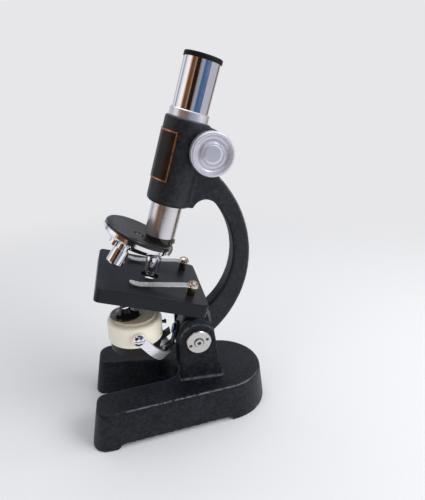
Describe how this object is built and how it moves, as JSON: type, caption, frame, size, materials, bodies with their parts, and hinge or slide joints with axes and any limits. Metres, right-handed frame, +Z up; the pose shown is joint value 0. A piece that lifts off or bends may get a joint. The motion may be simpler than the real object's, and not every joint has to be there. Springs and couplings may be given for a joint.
{
  "type": "microscope",
  "caption": "Student microscope: horseshoe base, tilting curved limb, square stage with clips, rack-focused tube, revolving turret of objectives and a lamp that turns over to a mirror.",
  "frame": {"origin": "on the table under the middle of the base", "axes": "+Z up, -Y to the front where the stage and the toes are, +X to the right seen from the front of the eyepiece"},
  "size_m": [0.0914, 0.1334, 0.2533],
  "materials": {
    "enamel": "black stoving enamel with a fine hammered grain",
    "satin_black": "smooth satin black enamel",
    "gloss_black": "glossy black moulding",
    "black_lacquer": "glossy black lacquer",
    "label": "black plate with a bare copper border",
    "chrome": "bright chrome plating",
    "nickel": "satin nickel plating",
    "aluminium": "turned aluminium",
    "steel": "plain steel",
    "blued": "blued steel",
    "brass": "plain brass",
    "cream": "cream moulded plastic",
    "black_plastic": "dark moulded plastic",
    "glass": "clear glass",
    "mirror": "silvered mirror glass"
  },
  "bodies": {
    "base": {"base_casting": "enamel", "pivot_pin": "nickel", "pivot_disc_left": "nickel", "pivot_disc_right": "nickel", "friction_washers": "brass"},
    "limb": {"limb_casting": "enamel", "label_plate": "label", "pinion_bushes": "brass", "stage": "satin_black", "stage_screws": "steel", "clip_posts": "nickel", "clip_bushes": "brass", "fork": "chrome", "fork_bracket": "satin_black", "fork_rivet": "steel", "fork_screw": "blued"},
    "clip_left": {"clip_left": "nickel"},
    "clip_right": {"clip_right": "nickel"},
    "pinion": {"pinion_shaft": "steel", "pinion_gear": "brass", "knob_left": "aluminium", "knob_right": "aluminium"},
    "tube": {"body_tube": "nickel", "rack": "brass", "rack_screws": "steel", "collar": "aluminium", "turret_plate": "black_lacquer", "turret_screw": "brass", "turret_nut": "brass", "turret_spring": "steel", "spring_screw": "brass"},
    "turret": {"turret_dome": "chrome", "objective_high": "chrome", "objective_mid": "chrome", "objective_low": "chrome", "objective_lenses": "glass"},
    "eyepiece": {"draw_tube": "chrome", "eyepiece_cap": "gloss_black", "eyepiece_barrel": "satin_black", "eye_lens": "glass", "field_stop": "satin_black", "field_lens": "glass"},
    "lamp": {"lamp_drum": "cream", "lamp_lid": "cream", "lens_cap": "gloss_black", "lamp_lens": "glass", "bulb": "glass", "bulb_socket": "brass", "battery_cell": "steel", "battery_contacts": "brass", "mirror_ring": "black_plastic", "mirror_glass": "mirror", "fork_pivots": "chrome"},
    "switch": {"lamp_switch": "gloss_black"}
  },
  "joints": [
    {"name": "tilt", "type": "hinge", "parent": "base", "child": "limb", "pos_m": [0, 0.01295, 0.0604], "axis": [1, 0, 0], "range_deg": [-45, 16.56]},
    {"name": "focus", "type": "slide", "parent": "limb", "child": "tube", "axis": [0, 0.285, 0.9585], "range_m": [0, 0.022]},
    {"name": "pinion_turn", "type": "hinge", "parent": "limb", "child": "pinion", "pos_m": [0, 0.02427, 0.19391], "axis": [1, 0, 0], "range_deg": [-320, 5]},
    {"name": "draw", "type": "slide", "parent": "tube", "child": "eyepiece", "axis": [0, 0.285, 0.9585], "range_m": [0, 0.02]},
    {"name": "turret_turn", "type": "hinge", "parent": "tube", "child": "turret", "pos_m": [0, -0.02189, 0.14181], "axis": [0, 0.4842, 0.875], "continuous": true},
    {"name": "clip_left_swing", "type": "hinge", "parent": "limb", "child": "clip_left", "pos_m": [-0.022, 0.0075, 0.10135], "axis": [0, 0.285, 0.9585], "range_deg": [-35, 12]},
    {"name": "clip_right_swing", "type": "hinge", "parent": "limb", "child": "clip_right", "pos_m": [0.022, 0.0075, 0.10135], "axis": [0, 0.285, 0.9585], "range_deg": [-12, 35]},
    {"name": "lamp_turn", "type": "hinge", "parent": "limb", "child": "lamp", "pos_m": [0, -0.02918, 0.07063], "axis": [1, 0, 0], "continuous": true},
    {"name": "switch_press", "type": "slide", "parent": "lamp", "child": "switch", "axis": [0, 1, 0], "range_m": [-0.0015, 0], "stiffness_N_per_m": 400, "springref_m": 0.0005}
  ],
  "couplings": [
    {"joint": "pinion_turn", "follows": "focus", "rad_per_m": -250}
  ]
}
